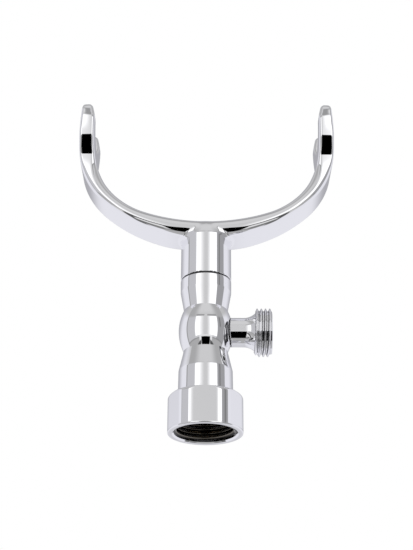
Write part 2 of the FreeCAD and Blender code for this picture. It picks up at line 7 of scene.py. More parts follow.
# %% Load the construction
import json
import math
import bmesh
import bpy
import numpy as np
from mathutils import Matrix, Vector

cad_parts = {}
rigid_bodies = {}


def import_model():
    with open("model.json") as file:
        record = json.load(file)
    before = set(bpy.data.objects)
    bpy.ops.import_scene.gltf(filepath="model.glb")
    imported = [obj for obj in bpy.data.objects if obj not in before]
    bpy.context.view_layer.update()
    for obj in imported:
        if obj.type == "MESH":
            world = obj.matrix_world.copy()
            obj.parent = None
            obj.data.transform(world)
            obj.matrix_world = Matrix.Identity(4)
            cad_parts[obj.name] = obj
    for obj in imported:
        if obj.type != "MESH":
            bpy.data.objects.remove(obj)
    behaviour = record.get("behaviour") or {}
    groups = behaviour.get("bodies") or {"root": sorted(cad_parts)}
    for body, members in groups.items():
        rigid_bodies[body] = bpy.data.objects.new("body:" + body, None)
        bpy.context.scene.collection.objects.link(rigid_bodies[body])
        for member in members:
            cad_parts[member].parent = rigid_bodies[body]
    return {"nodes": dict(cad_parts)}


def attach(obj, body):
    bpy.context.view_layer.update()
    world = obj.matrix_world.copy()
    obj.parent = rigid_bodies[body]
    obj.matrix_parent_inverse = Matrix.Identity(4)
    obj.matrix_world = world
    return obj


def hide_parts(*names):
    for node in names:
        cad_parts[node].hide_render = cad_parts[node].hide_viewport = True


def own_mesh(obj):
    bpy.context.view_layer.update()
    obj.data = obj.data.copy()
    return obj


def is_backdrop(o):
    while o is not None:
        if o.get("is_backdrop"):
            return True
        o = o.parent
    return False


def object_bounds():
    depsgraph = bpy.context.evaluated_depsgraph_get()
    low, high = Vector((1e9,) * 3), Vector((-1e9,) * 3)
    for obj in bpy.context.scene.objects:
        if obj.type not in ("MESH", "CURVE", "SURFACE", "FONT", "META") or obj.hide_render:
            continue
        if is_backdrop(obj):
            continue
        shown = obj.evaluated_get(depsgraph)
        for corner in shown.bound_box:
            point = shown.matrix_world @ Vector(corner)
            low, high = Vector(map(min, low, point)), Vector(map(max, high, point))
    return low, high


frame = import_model()
cad_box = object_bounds()

# %% [markdown]
# ## Camera
# The photo looks up at the object from below its foot, so the nut's mouth shows as an ellipse and the
# column's sharp waists curve like smiles turned down. A lens of about 76 mm half a metre away gives the
# strong taper that the photo has. A longer lens further off would show top and foot at nearly one scale.

# %% Camera
MM = 0.001
CAMERA_AT = (0.0002, -0.4657, -0.148)
LOOKS_UP, ROLL = 25.4, 0.25
camera_data = bpy.data.cameras.new("photo_camera")
camera_data.sensor_fit = "VERTICAL"
camera_data.sensor_height = 36.0
camera_data.lens = 76.32
camera_data.clip_start = 0.01
camera = bpy.data.objects.new("photo_camera", camera_data)
bpy.context.scene.collection.objects.link(camera)
upwards = Matrix.Rotation(math.radians(90 + LOOKS_UP), 4, "X")
roll = Matrix.Rotation(math.radians(ROLL), 4, "Z")
camera.matrix_world = Matrix.Translation(CAMERA_AT) @ upwards @ roll
bpy.context.scene.camera = camera
bpy.context.scene.view_settings.view_transform = "Standard"
print("camera:", round(camera_data.lens, 1), "mm lens, looking up by", LOOKS_UP, "degrees")

# %% [markdown]
# ## Studio
# Chrome shows nothing but its surroundings, so the studio is what makes it look right. The room is
# painted by direction, and two softboxes stand in it. Only the object sees the room. The camera itself
# sees plain white, as in a cut-out product photo. The room and the finishes are node trees, so a few
# helpers that add nodes come first.

# %% Node helpers
def add_node(tree, kind, **settings):
    """New node of one kind with its settings made."""
    node = tree.nodes.new(kind)
    for name, value in settings.items():
        setattr(node, name, value)
    return node


def math_node(tree, operation, *values):
    """Math node whose inputs are sockets or plain numbers."""
    node = add_node(tree, "ShaderNodeMath", operation=operation)
    for socket, value in zip(node.inputs, values):
        if isinstance(value, (int, float)):
            socket.default_value = value
        else:
            tree.links.new(value, socket)
    return node.outputs[0]


def fade(tree, value, start, end, at_start=0.0, at_end=1.0):
    """at_start up to start, at_end from end on, smooth between."""
    node = add_node(tree, "ShaderNodeMapRange", interpolation_type="SMOOTHSTEP")
    tree.links.new(value, node.inputs["Value"])
    for name, setting in (("From Min", start), ("From Max", end), ("To Min", at_start), ("To Max", at_end)):
        node.inputs[name].default_value = setting
    return node.outputs[0]


def product(tree, *factors):
    """Sockets multiplied with each other."""
    result = factors[0]
    for factor in factors[1:]:
        result = math_node(tree, "MULTIPLY", result, factor)
    return result


print("helpers for node trees:", [helper.__name__ for helper in (add_node, math_node, fade, product)])

# %% [markdown]
# A direction in the room is two angles in degrees. The azimuth is 0 towards the camera and grows to the
# right, so 180 lies behind the object. The elevation is 0 at the horizon and 90 overhead.

# %% Directions in the room
world = bpy.data.worlds.new("studio")
bpy.context.scene.world = world
world.use_nodes = True
room = world.node_tree
room.nodes.clear()
direction = add_node(room, "ShaderNodeTexCoord").outputs["Generated"]
split = add_node(room, "ShaderNodeSeparateXYZ")
room.links.new(direction, split.inputs[0])
right, back, up = split.outputs
to_camera = math_node(room, "MULTIPLY", back, -1)
azimuth = math_node(room, "MULTIPLY", math_node(room, "ARCTAN2", right, to_camera), 180 / math.pi)
elevation = math_node(room, "MULTIPLY", math_node(room, "ARCSINE", up), 180 / math.pi)
print("directions:", len(room.nodes), "nodes")

# %% [markdown]
# The room is painted in patches that are laid over each other, like coats of paint. A patch is a band
# of azimuths times a band of elevations. Its edges are soft, as the edge of a wall or a lamp is when
# polished metal shows it.

# %% Painting tools
def band(value, low, high, soft):
    """1 where value lies between low and high, with soft edges."""
    return product(room, fade(room, value, low - soft / 2, low + soft / 2),
                   fade(room, value, high + soft / 2, high - soft / 2))


def lay(under, colour, mask):
    """Lays a colour over the room's picture so far, as strongly as the mask says."""
    mix = add_node(room, "ShaderNodeMix", data_type="RGBA")
    room.links.new(mask, mix.inputs["Factor"])
    if isinstance(under, tuple):
        mix.inputs[6].default_value = (*under, 1)
    else:
        room.links.new(under, mix.inputs[6])
    mix.inputs[7].default_value = (*colour, 1)
    return mix.outputs[2]


def paint(under, colour, azimuths, elevations, soft):
    """Lays a patch of colour between two azimuths and two elevations."""
    return lay(under, colour,
               product(room, band(azimuth, *azimuths, soft), band(elevation, *elevations, soft)))


def grey(level, blue=0.0):
    """Grey that may lean to blue, as daylight does."""
    return (level, level, level + blue)


print("a pale wall's grey:", grey(0.84, 0.05))

# %% [markdown]
# The walls all round are pale and the ceiling is grey. In front of the object the left half is lighter
# than the right, as in the photo's chrome. Below the softboxes lies a white table with shade around it.
# The black opening around the camera comes near the end: its hard dark shapes are what make chrome
# look like metal.

# %% Paint the room
ALL_ROUND, FRONT = (-200, 200), (-88, 88)
picture = paint(grey(0.84, 0.05), grey(0.56), ALL_ROUND, (38, 100), 10)
for far_wall in ((-230, -174), (174, 230)):
    picture = paint(picture, grey(0.60, 0.03), far_wall, (-60, 20), 24)
behind_above = math_node(room, "ADD", math_node(room, "MULTIPLY", back, 0.891),
                         math_node(room, "MULTIPLY", up, 0.454))
picture = lay(picture, grey(0.42, 0.03),
              product(room, fade(room, behind_above, 0.45, 1.0), fade(room, elevation, 0, 22)))
coats = [
    (grey(0.57, 0.02), (-88, 0), (-80, 38), 3),     # left half of the front
    (grey(0.36, 0.01), (0, 88), (-80, 38), 3),      # right half
    (grey(0.33), (-88, -83), (-20, 40), 3),         # dark edge of the left half
    (grey(0.22), (60, 66), (15, 40), 4),            # post beside the right softbox
    (grey(0.43), FRONT, (36, 92), 6),               # ceiling
    (grey(0.68), (-45, 45), (36, 92), 40),          # glow on the ceiling
    (grey(0.25), FRONT, (-66, -12), 3),             # shade around the table
    (grey(0.64), FRONT, (-55, -28), 4),             # floor in front of it
    (grey(0.44), FRONT, (-28, -14), 3),             # far part of the floor
    (grey(0.43), ALL_ROUND, (-95, -65), 4),         # floor right below
    (grey(0.64, 0.01), (-48, 48), (-12, 38), 3),    # screen between the softboxes
    (grey(0.85), (-29, 29), (-32, -8), 3),          # table
    (grey(0.78), (-56, 56), (-44, -30), 6),         # table's near end
]
for coat in coats:
    picture = paint(picture, *coat)
print("room painted with", len(coats), "coats in front")

# %% [markdown]
# On each side a dark bar slopes down from the table, and another lies low on the floor. They make the
# dark wedges beside the neck and the dark lines along the arms. The black opening is painted over them,
# and last comes a shade on the ceiling behind the object.

# %% Dark bars and the opening
outwards = math_node(room, "ABSOLUTE", azimuth)
slanted = math_node(room, "ADD", elevation, math_node(room, "MULTIPLY", outwards, 0.4))
picture = lay(picture, grey(0.10), product(room, band(slanted, -19, -10, 3), band(outwards, 21, 97, 6)))
picture = lay(picture, grey(0.16), product(room, band(elevation, -55, -47, 3), band(outwards, 36, 112, 8)))
picture = paint(picture, grey(0.0), (-20, 20), (-65, -12), 2.5)
for behind in ((-200, -90), (90, 200)):
    picture = paint(picture, grey(0.34), behind, (76, 96), 4)
print("studio:", len(room.nodes), "nodes")

# %% [markdown]
# The picture lights the object, but the camera must see white. The light path node tells the two apart.

# %% Light for the object, white for the camera
studio_light = add_node(room, "ShaderNodeBackground")
room.links.new(picture, studio_light.inputs["Color"])
cut_out = add_node(room, "ShaderNodeBackground")
cut_out.inputs["Color"].default_value = (1, 1, 1, 1)
choose = add_node(room, "ShaderNodeMixShader")
room.links.new(add_node(room, "ShaderNodeLightPath").outputs["Is Camera Ray"], choose.inputs[0])
room.links.new(studio_light.outputs[0], choose.inputs[1])
room.links.new(cut_out.outputs[0], choose.inputs[2])
room.links.new(choose.outputs[0], add_node(room, "ShaderNodeOutputWorld").inputs[0])
print("the camera sees", cut_out.inputs["Color"].default_value[:3])

# %% [markdown]
# ## Softboxes
# The two softboxes and the grey screen between and above them stand close to the object, so they are
# one real bent sheet: each part of the object sees it from its own place. The boxes' inner edges fade
# out, which gives the chrome its soft highlights. The sheet itself is never seen by the camera.

# %% Bent sheet
SHEET_REACH, SHEET_LOW, SHEET_HIGH = 0.4, -0.03, 0.48
sheet_angles = [math.radians(degrees) for degrees in range(-56, 57, 2)]
sheet_points = [(SHEET_REACH * math.sin(angle), -SHEET_REACH * math.cos(angle), z)
                for angle in sheet_angles for z in (SHEET_LOW, SHEET_HIGH)]
sheet_faces = [(2 * i, 2 * i + 2, 2 * i + 3, 2 * i + 1) for i in range(len(sheet_angles) - 1)]
box_mesh = bpy.data.meshes.new("softboxes")
box_mesh.from_pydata(sheet_points, [], sheet_faces)
softboxes = bpy.data.objects.new("softboxes", box_mesh)
bpy.context.scene.collection.objects.link(softboxes)
softboxes.visible_camera = False
softboxes.visible_shadow = False
softboxes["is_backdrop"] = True
print("softboxes:", len(sheet_faces), "faces")

# %% [markdown]
# Where the sheet glows is told by the angle to the side, in degrees, and by the height in metres. The
# screen is grey, with a darker header above it, and each box rises from the screen to full white.

# %% Glow of the softboxes
BOX_WHITE, SCREEN_GREY, HEADER_GREY = 1.25, 0.64, 0.34
LEFT_EDGE, RIGHT_EDGE = (-46.5, -44), (51.5, 48.5)
box_glow = bpy.data.materials.new("softbox_glow")
box_glow.use_nodes = True
glow = box_glow.node_tree
glow.nodes.clear()
place = add_node(glow, "ShaderNodeSeparateXYZ")
glow.links.new(add_node(glow, "ShaderNodeTexCoord").outputs["Object"], place.inputs[0])
forwards = math_node(glow, "MULTIPLY", place.outputs["Y"], -1)
from_axis = math_node(glow, "ARCTAN2", place.outputs["X"], forwards)
sideways = math_node(glow, "MULTIPLY", from_axis, 180 / math.pi)
height = place.outputs["Z"]
left_box = product(glow, fade(glow, sideways, -3, -35), fade(glow, sideways, *LEFT_EDGE))
right_box = product(glow, fade(glow, sideways, 3, 26), fade(glow, sideways, *RIGHT_EDGE))
boxes = product(glow, math_node(glow, "ADD", left_box, right_box), fade(glow, height, 0.355, 0.33))
header = product(glow, fade(glow, height, 0.34, 0.372),
                 fade(glow, math_node(glow, "ABSOLUTE", sideways), 4, 9))
screen = fade(glow, header, 0, 1, SCREEN_GREY, HEADER_GREY)
brightness = math_node(glow, "ADD", screen,
                       product(glow, boxes, math_node(glow, "SUBTRACT", BOX_WHITE, screen)))
print("glow:", len(glow.nodes), "nodes")

# %% [markdown]
# Outside its edges the sheet is see-through, so that the painted room shows past it.

# %% Edges of the sheet
cover = product(glow, fade(glow, height, -0.018, -0.01), fade(glow, height, 0.405, 0.395),
                fade(glow, sideways, *LEFT_EDGE), fade(glow, sideways, *RIGHT_EDGE))
lamp = add_node(glow, "ShaderNodeEmission")
lamp.inputs["Color"].default_value = (1, 1, 1, 1)
glow.links.new(brightness, lamp.inputs["Strength"])
through = add_node(glow, "ShaderNodeMixShader")
glow.links.new(cover, through.inputs[0])
glow.links.new(add_node(glow, "ShaderNodeBsdfTransparent").outputs[0], through.inputs[1])
glow.links.new(lamp.outputs[0], through.inputs[2])
glow.links.new(through.outputs[0], add_node(glow, "ShaderNodeOutputMaterial").inputs[0])
box_mesh.materials.append(box_glow)
print("softboxes glow with", box_glow.name)

# %% [markdown]
# ## Finishes
# Bright chrome plate is nearly a mirror. What tells it from a computer's mirror is the faint
# unevenness that buffing leaves, so a fine noise bends the surface a little and varies the gloss.

# %% How a finish is made
def finish(name, colour, metallic, roughness, grain=0.0, grain_size=0.001, gloss_spread=0.0, tint=None):
    """Principled finish with fine bump, uneven gloss and, if asked, a second colour in soft patches."""
    material = bpy.data.materials.new(name)
    material.use_nodes = True
    tree = material.node_tree
    shader = tree.nodes["Principled BSDF"]
    shader.inputs["Base Color"].default_value = (*colour, 1)
    shader.inputs["Metallic"].default_value = metallic
    shader.inputs["Roughness"].default_value = roughness
    place = add_node(tree, "ShaderNodeTexCoord").outputs["Object"]
    noise = add_node(tree, "ShaderNodeTexNoise")
    noise.inputs["Scale"].default_value = 1 / grain_size
    noise.inputs["Detail"].default_value = 3
    tree.links.new(place, noise.inputs["Vector"])
    if grain:
        bump = add_node(tree, "ShaderNodeBump")
        bump.inputs["Strength"].default_value = 1.0
        bump.inputs["Distance"].default_value = grain
        tree.links.new(noise.outputs[0], bump.inputs["Height"])
        tree.links.new(bump.outputs[0], shader.inputs["Normal"])
    if gloss_spread:
        spread = add_node(tree, "ShaderNodeMapRange")
        spread.inputs["To Min"].default_value = roughness - gloss_spread / 2
        spread.inputs["To Max"].default_value = roughness + gloss_spread / 2
        tree.links.new(noise.outputs[0], spread.inputs["Value"])
        tree.links.new(spread.outputs[0], shader.inputs["Roughness"])
    if tint:
        patches = add_node(tree, "ShaderNodeTexNoise")
        patches.inputs["Scale"].default_value = 0.25 / grain_size
        tree.links.new(place, patches.inputs["Vector"])
        mix = add_node(tree, "ShaderNodeMix", data_type="RGBA")
        mix.inputs[6].default_value = (*colour, 1)
        mix.inputs[7].default_value = (*tint, 1)
        tree.links.new(patches.outputs[0], mix.inputs["Factor"])
        tree.links.new(mix.outputs[2], shader.inputs["Base Color"])
    return material


print("a finish takes up to", finish.__code__.co_argcount, "settings")

# %% [markdown]
# The visible pieces are all bright chrome on brass. The other finishes belong to pieces that show only
# at the mouths of the nut and of the outlet: bare turned brass, black and pale plastic, rubber and
# spring steel.

# %% Chrome, brass, plastic, rubber and steel
chrome_plate = finish("chrome_plate", (0.90, 0.90, 0.92), 1.0, 0.03, grain=2e-7, grain_size=0.004,
                      gloss_spread=0.02)
turned_brass = finish("turned_brass", (0.80, 0.60, 0.30), 1.0, 0.22, grain=4e-6, grain_size=0.0005,
                      gloss_spread=0.1, tint=(0.66, 0.48, 0.24))
black_acetal = finish("black_acetal", (0.02, 0.02, 0.022), 0.0, 0.4, grain=4e-6, grain_size=0.0006,
                      gloss_spread=0.1, tint=(0.035, 0.035, 0.035))
valve_plastic = finish("valve_plastic", (0.82, 0.82, 0.78), 0.0, 0.42, grain=4e-6, grain_size=0.0007,
                       gloss_spread=0.1, tint=(0.76, 0.76, 0.73))
seal_rubber = finish("seal_rubber", (0.02, 0.02, 0.02), 0.0, 0.55, grain=8e-6, grain_size=0.0005,
                     gloss_spread=0.15, tint=(0.04, 0.04, 0.04))
spring_wire = finish("spring_wire", (0.62, 0.62, 0.63), 1.0, 0.22, grain=2e-6, grain_size=0.0004,
                     gloss_spread=0.1, tint=(0.5, 0.5, 0.52))
print("finishes:", [material.name for material in bpy.data.materials])

# %% [markdown]
# A thread's roots and the seam at the outlet's foot see little light. A plain mirror would look too
# clean there, so this finish paints their shade: it is bright far from the axis and turns dull and
# painted dark towards it, or the other way round in a bore.

# %% Chrome with painted shade in a groove
def worn_thread(name, axis, centre_z, root_r, crest_r, root_colour, root_rough,
                crest_colour=(0.90, 0.90, 0.92)):
    """Chrome far from the axis that turns dull and painted dark towards it, as shade in a thread's root or a
    bore.
    """
    material = chrome_plate.copy()
    material.name = name
    tree = material.node_tree
    shader = tree.nodes["Principled BSDF"]
    place = add_node(tree, "ShaderNodeSeparateXYZ")
    tree.links.new(add_node(tree, "ShaderNodeTexCoord").outputs["Object"], place.inputs[0])
    height = math_node(tree, "SUBTRACT", place.outputs["Z"], centre_z * MM)
    pair = (place.outputs["Y"], height) if axis == "X" else (place.outputs["X"], place.outputs["Y"])
    squares = [math_node(tree, "MULTIPLY", value, value) for value in pair]
    radius = math_node(tree, "SQRT", math_node(tree, "ADD", *squares))
    height_on_tooth = fade(tree, radius, root_r * MM, crest_r * MM)
    mix = add_node(tree, "ShaderNodeMix", data_type="RGBA")
    mix.inputs[6].default_value = (*root_colour, 1)
    mix.inputs[7].default_value = (*crest_colour, 1)
    tree.links.new(height_on_tooth, mix.inputs["Factor"])
    tree.links.new(mix.outputs[2], shader.inputs["Base Color"])
    rough = add_node(tree, "ShaderNodeMapRange")
    tree.links.new(height_on_tooth, rough.inputs["Value"])
    rough.inputs["To Min"].default_value = root_rough
    rough.inputs["To Max"].default_value = 0.05
    tree.links.new(rough.outputs[0], shader.inputs["Roughness"])
    return material


# The chrome copied here gets painted shade towards the axis.
print("shade-painted chrome starts from", chrome_plate.name)

# %% [markdown]
# ## Turned pieces
# The column, the hose outlet and the union nut come off a lathe. Each is one outline turned about an
# axis. An outline is made of runs, and a run of straight and round stretches.

# %% Stretches of an outline
def arc(start, through, end, steps=12):
    """Points from start to end on the circle through three (radius, height) points."""
    (x1, y1), (x2, y2), (x3, y3) = start, through, end
    d = 2 * (x1 * (y2 - y3) + x2 * (y3 - y1) + x3 * (y1 - y2))
    s1, s2, s3 = x1 * x1 + y1 * y1, x2 * x2 + y2 * y2, x3 * x3 + y3 * y3
    cx = (s1 * (y2 - y3) + s2 * (y3 - y1) + s3 * (y1 - y2)) / d
    cy = (s1 * (x3 - x2) + s2 * (x1 - x3) + s3 * (x2 - x1)) / d
    angle = [math.atan2(y - cy, x - cx) for x, y in (start, through, end)]
    while angle[1] - angle[0] > math.pi:
        angle[1] -= 2 * math.pi
    while angle[1] - angle[0] < -math.pi:
        angle[1] += 2 * math.pi
    while angle[2] - angle[1] > math.pi:
        angle[2] -= 2 * math.pi
    while angle[2] - angle[1] < -math.pi:
        angle[2] += 2 * math.pi
    radius = math.hypot(x1 - cx, y1 - cy)
    sweep = angle[2] - angle[0]
    return [(cx + radius * math.cos(angle[0] + sweep * i / steps),
             cy + radius * math.sin(angle[0] + sweep * i / steps)) for i in range(steps + 1)]


def straight(start, end, steps=1):
    """Points from start to end on a straight line."""
    return [(start[0] + (end[0] - start[0]) * i / steps, start[1] + (end[1] - start[1]) * i / steps)
            for i in range(steps + 1)]


print("a quarter of a 1 mm circle:", arc((1, 0), (0.70711, 0.70711), (0, 1), 2))

# %% [markdown]
# Every mesh below becomes a piece in the same way: an object that rides on its body, stands in for the
# construction's nodes and takes its finish.

# %% From mesh to finished piece
def finished(name, mesh, body, material, slot, *nodes):
    """Object for a finished mesh, riding on its body in place of the construction's nodes."""
    piece = bpy.data.objects.new(name, mesh)
    bpy.context.scene.collection.objects.link(piece)
    mesh.materials.clear()
    mesh.materials.append(material)
    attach(piece, body)
    if nodes:
        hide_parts(*nodes)
    print(name, "faces", len(mesh.polygons))
    return piece


# %% [markdown]
# Rings of points are joined into a closed mesh. Where two runs meet, the real piece has a sharp edge,
# and that ring's edges stay sharp here. Within a run the shading is smooth, which chrome needs, because
# it shows every facet.

# %% Mesh through rings
AROUND = 256


def grid_mesh(name, rows, sharp_rows):
    """Closed mesh through rings that have as many points each. The last ring joins the first."""
    count = len(rows[0])
    faces = []
    for a in range(len(rows)):
        b = (a + 1) % len(rows)
        for i in range(count):
            j = (i + 1) % count
            faces.append([a * count + i, a * count + j, b * count + j, b * count + i])
    mesh = bpy.data.meshes.new(name)
    mesh.from_pydata([tuple(c * MM for c in point) for row in rows for point in row], [], faces)
    shape = bmesh.new()
    shape.from_mesh(mesh)
    shape.verts.ensure_lookup_table()
    for row in sharp_rows:
        ring = shape.verts[row * count:(row + 1) * count]
        for start, end in zip(ring, ring[1:] + ring[:1]):
            shape.edges.get((start, end)).smooth = False
    bmesh.ops.recalc_face_normals(shape, faces=shape.faces)
    for face in shape.faces:
        face.smooth = True
    shape.to_mesh(mesh)
    shape.free()
    return mesh


print("rings have", AROUND, "points")

# %% [markdown]
# An outline made of runs becomes a list of rings. Runs share their end points, so each run after the
# first leaves its first point out, and that point's ring is marked sharp.

# %% Mesh turned about the swivel axis
def rings_of(runs):
    """Rings of a closed outline made of runs, and which rings are sharp because two runs meet there."""
    rings = []
    sharp = []
    for run in runs:
        if rings:
            sharp.append(len(rings) - 1)
            run = run[1:]
        rings += run
    if math.dist(rings[0], rings[-1]) < 1e-6:
        rings.pop()
        sharp.append(0)
    return rings, sharp


def turned_mesh(name, runs, around=AROUND):
    """Mesh turned about the swivel axis from runs of (radius, height) points."""
    rings, sharp = rings_of(runs)
    turns = [2 * math.pi * i / around for i in range(around)]
    rows = [[(radius * math.cos(turn), radius * math.sin(turn), height) for turn in turns]
            for radius, height in rings]
    return grid_mesh(name, rows, sharp)


square = [straight((1, 0), (2, 0)), straight((2, 0), (2, 1)), straight((2, 1), (1, 1)),
          straight((1, 1), (1, 0))]
print("a square outline has", len(rings_of(square)[0]), "rings, all sharp:", rings_of(square)[1])

# %% [markdown]
# ## Swivel body
# One turned brass bar, plated: a bell foot, a cone, a barrel between two sharp waists, a second cone
# and a column. The waists stay sharp, since in the photo each is a crisp line around the body.

# %% Outside of the swivel body
BELL_FOOT, BELL_TOP, LOWER_WAIST, OUTLET_Z = 16.8, 27.5, 36.4, 45.6
UPPER_WAIST, COLUMN_SHOULDER, COLUMN_TOP = 55.3, 63.9, 69.1
BARREL_R, LOWER_WAIST_R, UPPER_WAIST_R = 11.68, 9.45, 9.5
bell_and_cone = (
    arc((11.53, BELL_FOOT), (11.64, BELL_FOOT + 0.04), (11.68, BELL_FOOT + 0.15), 4)
    + straight((11.68, BELL_FOOT + 0.15), (11.54, BELL_TOP - 0.25), 6)[1:]
    + arc((11.54, BELL_TOP - 0.25), (11.51, BELL_TOP), (11.46, BELL_TOP + 0.25), 4)[1:]
    + straight((11.46, BELL_TOP + 0.25), (LOWER_WAIST_R, LOWER_WAIST), 6)[1:])
barrel = arc((LOWER_WAIST_R, LOWER_WAIST), (BARREL_R, OUTLET_Z), (UPPER_WAIST_R, UPPER_WAIST), 48)
cone_and_column = (
    straight((UPPER_WAIST_R, UPPER_WAIST), (11.0, COLUMN_SHOULDER - 0.3), 6)
    + arc((11.0, COLUMN_SHOULDER - 0.3), (11.05, COLUMN_SHOULDER), (11.065, COLUMN_SHOULDER + 0.3), 4)[1:]
    + straight((11.065, COLUMN_SHOULDER + 0.3), (11.12, COLUMN_TOP - 0.12), 4)[1:]
    + arc((11.12, COLUMN_TOP - 0.12), (11.09, COLUMN_TOP - 0.035), (11.0, COLUMN_TOP), 4)[1:])
print("outside of the body:", len(bell_and_cone) + len(barrel) + len(cone_and_column), "points")

# %% [markdown]
# Above the column rises the spigot that the cradle turns on. Two of its grooves hold seal rings, and
# the grub screw runs in the one between them. Inside are the water bore with its drilled end, and the
# stepped socket for the tail bush. A fine centre hole keeps every ring open.

# %% Spigot and bores of the swivel body
SPIGOT_R, SPIGOT_TOP, SPIGOT_CHAMFER = 7.0, 88.1, 0.6
WATER_BORE_R, CENTRE_HOLE_R, SOCKET_R, TAIL_SOCKET_R = 5.5, 1.0, 7.05, 8.05
groove_places = [(77.7, 79.7, 5.5), (80.9, 83.9, 5.7), (85.1, 87.1, 5.5)]
corners = [(11.0, COLUMN_TOP), (SPIGOT_R, COLUMN_TOP)]
for low, high, floor_r in groove_places:
    corners += [(SPIGOT_R, low), (floor_r, low), (floor_r, high), (SPIGOT_R, high)]
corners += [(SPIGOT_R, SPIGOT_TOP - SPIGOT_CHAMFER), (SPIGOT_R - SPIGOT_CHAMFER, SPIGOT_TOP),
            (CENTRE_HOLE_R, SPIGOT_TOP), (CENTRE_HOLE_R, 52.2), (WATER_BORE_R, 50.6), (WATER_BORE_R, 27.3),
            (SOCKET_R, 27.3), (SOCKET_R, 23.3), (TAIL_SOCKET_R, 23.3), (TAIL_SOCKET_R, BELL_FOOT),
            (11.53, BELL_FOOT)]
inside_runs = [straight(start, end) for start, end in zip(corners, corners[1:])]
body_mesh = turned_mesh("swivel_body_turned", [bell_and_cone, barrel, cone_and_column] + inside_runs)
finished("swivel_body_turned", body_mesh, "body", chrome_plate, "chrome", "swivel_body")

# %% [markdown]
# ## Hose outlet
# A turned stem whose inner end is cut to a saddle, so it sits on the barrel with a fine gap in painted
# shade.
# It flares like a trumpet up to the thread. The rings near the barrel can't be flat: each of their
# points is moved along the stem's axis until it lies on the barrel's surface.

# %% Rings that lie on the barrel
SEAM, STEM_R = 0.12, 6.35


def barrel_reach(across, height, gap):
    """How far along X the barrel's surface, grown by gap, lies at a point beside the outlet's axis."""
    chord = (UPPER_WAIST - LOWER_WAIST) / 2
    sag = BARREL_R - (LOWER_WAIST_R + UPPER_WAIST_R) / 2
    bow = (chord * chord + sag * sag) / (2 * sag)
    radius = BARREL_R + gap - bow + math.sqrt(max(bow * bow - height * height, 0))
    return math.sqrt(max(radius * radius - across * across, 0))


def outlet_row(radius, along, on_barrel=0.0, gap=SEAM):
    """Ring about the outlet's axis; on_barrel pulls it from a flat ring to one lying on the barrel."""
    row = []
    for i in range(AROUND):
        angle = 2 * math.pi * i / AROUND
        across, height = radius * math.cos(angle), radius * math.sin(angle)
        x = along
        if on_barrel:
            x = along * (1 - on_barrel) + barrel_reach(across, height, gap) * on_barrel
        row.append((x, across, OUTLET_Z + height))
    return row


near_ring = outlet_row(STEM_R, 0, 1.0)
print("the outlet's foot lies", round(min(p[0] for p in near_ring), 2), "to",
      round(max(p[0] for p in near_ring), 2), "mm from the swivel axis")

# %% [markdown]
# The stem is a plain cylinder up to where the flare starts. The flare is an arc that starts level with
# the stem and meets the thread at a steep angle.

# %% Sizes of the hose outlet
STEM_START, STEM_END = 11.0, 16.3
FLARE_END, FLARE_R, LIP_HALF = 22.5, 7.13, 0.15
HOSE_ROOT_R, HOSE_END, END_CHAMFER = 9.316, 28.5, 0.25
STUB_R, STUB_START, RING_GROOVE_R, SEAM_FLOOR_R, SEAM_DEPTH = 5.1, 6.2, 4.05, 5.3, 0.38
WASHER_R, VALVE_R, NARROW_R = 7.25, 5.05, 3.4


def flare_radius(along):
    """Radius of the flare at one place along the stem's axis."""
    run = along - STEM_END
    return STEM_R + FLARE_R - math.sqrt(FLARE_R * FLARE_R - run * run)


print("flare: radius", STEM_R, "to", round(flare_radius(FLARE_END), 2), "mm")

# %% [markdown]
# The outline runs from a groove at the seam along the stem and up the flare to the thread's root, over
# the end face, and back through the bores: the recess for the hose's washer, the bore that holds the
# check valve, and the narrow bore behind it. Last comes the stub that sits in the barrel, with the
# groove of its seal ring.

# %% Hose outlet
outlet_rows = [outlet_row(STUB_R, 0, 1.0), outlet_row(SEAM_FLOOR_R, 0, 1.0),
               outlet_row(SEAM_FLOOR_R, 0, 1.0, SEAM + SEAM_DEPTH),
               outlet_row(STEM_R - 0.1, 0, 1.0, SEAM + SEAM_DEPTH), outlet_row(STEM_R, 0, 1.0, SEAM + 0.5)]
outlet_sharp = [0, 1, 2, 3]
for i in range(1, 9):
    outlet_rows.append(outlet_row(STEM_R, STEM_START + (STEM_END - STEM_START) * i / 8, 1.0 - i / 8))
for i in range(1, 17):
    along = STEM_END + (FLARE_END - LIP_HALF - STEM_END) * i / 16
    outlet_rows.append(outlet_row(flare_radius(along), along))
flare_top = flare_radius(FLARE_END - LIP_HALF)
flare_lip = arc((FLARE_END - LIP_HALF, flare_top), (FLARE_END, flare_top + 0.07),
                (FLARE_END + LIP_HALF, flare_top - 0.05), 4)
outlet_rows += [outlet_row(radius, along) for along, radius in flare_lip[1:]]
thread_end_and_bores = [
    (23.45, HOSE_ROOT_R), (HOSE_END - END_CHAMFER, HOSE_ROOT_R), (HOSE_END, HOSE_ROOT_R - END_CHAMFER),
    (HOSE_END, WASHER_R + 0.2), (HOSE_END - 0.2, WASHER_R), (22.3, WASHER_R), (22.3, VALVE_R),
    (12.3, VALVE_R), (12.3, NARROW_R), (STUB_START, NARROW_R), (STUB_START, STUB_R), (8.0, STUB_R),
    (8.0, RING_GROOVE_R), (9.4, RING_GROOVE_R), (9.4, STUB_R)]
for along, radius in thread_end_and_bores:
    outlet_rows.append(outlet_row(radius, along))
    outlet_sharp.append(len(outlet_rows) - 1)
# Painted shade: the outlet's chrome turns dark towards its axis, in the seam's groove and in the bores.
outlet_plate = worn_thread("chrome_on_outlet", "X", OUTLET_Z, 5.5, 6.15, (0.03, 0.03, 0.03), 0.3)
finished("hose_outlet_turned", grid_mesh("hose_outlet_turned", outlet_rows, outlet_sharp), "body",
         outlet_plate, "chrome", "hose_outlet")

# %% [markdown]
# ## Pipe threads
# A thread is one tooth carried along a helix. Geometry Nodes do just that: a spiral curve, a rounded
# tooth section swept along it, and a curve radius that lets the tooth rise from the surface at its
# start and sink back at its end. The same tree makes the male thread on the outlet and the female
# thread in the nut; only the sizes differ. Pipe threads of this size have 14 turns to the inch.

